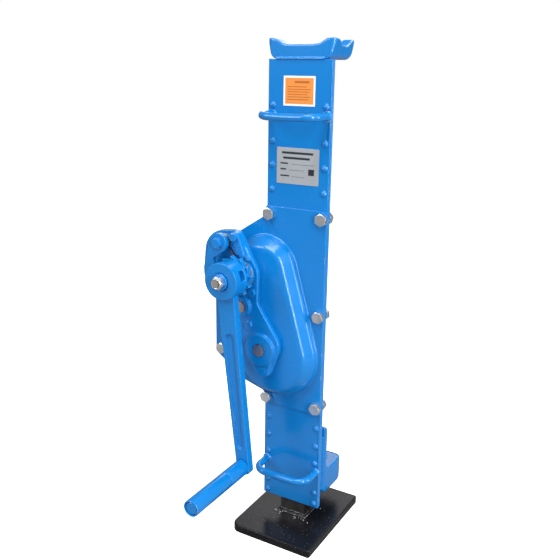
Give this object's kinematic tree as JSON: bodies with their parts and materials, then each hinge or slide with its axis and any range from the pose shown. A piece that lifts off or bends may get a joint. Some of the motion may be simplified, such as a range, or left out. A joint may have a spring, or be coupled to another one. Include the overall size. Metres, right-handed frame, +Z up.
{
  "type": "rack toe jack",
  "caption": "Steel rack jack with a horned head, a foot toe, a hand crank with a geared drive and pawl, and two grab handles on a plate column.",
  "frame": {"origin": "centre of the base plate's underside", "axes": "+Z up along the rack, -Y towards the crank side, +Y towards the toe, +X to the operator's right"},
  "size_m": [0.204, 0.3243, 0.727],
  "materials": {
    "blue_paint": "glossy enamel",
    "black_paint": "semi-gloss enamel",
    "zinc": "zinc plated",
    "dark_steel": "oiled machined steel",
    "bronze": "sintered bronze",
    "friction": "pressed friction lining",
    "orange_film": "printed film",
    "plate_metal": "satin"
  },
  "bodies": {
    "stand": {"base_plate": "black_paint", "rack": "dark_steel", "rack_weld": "black_paint"},
    "column": {"front_plate": "blue_paint", "channel": "blue_paint", "upper_guide": "dark_steel", "lower_guide": "dark_steel", "column_rivets": "blue_paint", "head": "blue_paint", "head_weld": "blue_paint", "toe": "blue_paint", "toe_weld": "blue_paint", "upper_grab_handle": "blue_paint", "lower_grab_handle": "blue_paint", "pinion_case": "blue_paint", "rear_bearing_plate": "blue_paint", "gear_cover": "blue_paint", "cover_bolts": "zinc", "cover_nuts": "zinc", "bearing_bracket": "blue_paint", "bracket_screws": "blue_paint", "low_shaft_bushes": "bronze", "mid_shaft_bushes": "bronze", "crank_shaft_bushes": "bronze", "warning_label": "orange_film", "rating_plate": "plate_metal", "pawl_pivot_bolt": "blue_paint", "pawl_spring": "zinc"},
    "low_shaft": {"rack_pinion_shaft": "dark_steel", "main_gear": "dark_steel", "gear_key": "zinc"},
    "middle_shaft": {"mid_shaft": "dark_steel", "mid_gear": "dark_steel"},
    "crank": {"crank_shaft": "dark_steel", "inner_friction_disc": "friction", "outer_friction_disc": "friction", "crank_arm": "blue_paint", "hub_washer": "blue_paint", "hub_nut": "zinc", "grip_pin": "blue_paint"},
    "ratchet": {"ratchet_wheel": "blue_paint"},
    "pawl": {"pawl": "blue_paint"},
    "grip": {"grip_sleeve": "blue_paint"}
  },
  "joints": [
    {"name": "lift", "type": "slide", "parent": "stand", "child": "column", "axis": [0, 0, 1], "range_m": [0, 0.35]},
    {"name": "crank_turn", "type": "hinge", "parent": "column", "child": "crank", "pos_m": [-0.06885, -0.09, 0.40495], "axis": [0, 1, 0], "range_deg": [0, 18455]},
    {"name": "middle_shaft_turn", "type": "hinge", "parent": "column", "child": "middle_shaft", "pos_m": [-0.06591, -0.035, 0.35704], "axis": [0, 1, 0], "range_deg": [-4858, 0]},
    {"name": "low_shaft_turn", "type": "hinge", "parent": "column", "child": "low_shaft", "pos_m": [-0.0344, -0.02, 0.2965], "axis": [0, 1, 0], "range_deg": [0, 1255]},
    {"name": "ratchet_turn", "type": "hinge", "parent": "column", "child": "ratchet", "pos_m": [-0.06885, -0.07, 0.40495], "axis": [0, 1, 0], "continuous": true},
    {"name": "pawl_swing", "type": "hinge", "parent": "column", "child": "pawl", "pos_m": [-0.09484, -0.07, 0.45045], "axis": [0, 1, 0], "range_deg": [0, 20], "stiffness_Nm_per_rad": 0.05, "springref_deg": -28.65},
    {"name": "grip_turn", "type": "hinge", "parent": "crank", "child": "grip", "pos_m": [-0.03715, -0.15, 0.12675], "axis": [0, 1, 0], "continuous": true}
  ],
  "couplings": [
    {"joint": "lift", "follows": "crank_turn", "m_per_rad": 0.0010866},
    {"joint": "middle_shaft_turn", "follows": "crank_turn", "ratio": -0.26316},
    {"joint": "low_shaft_turn", "follows": "crank_turn", "ratio": 0.067912}
  ]
}
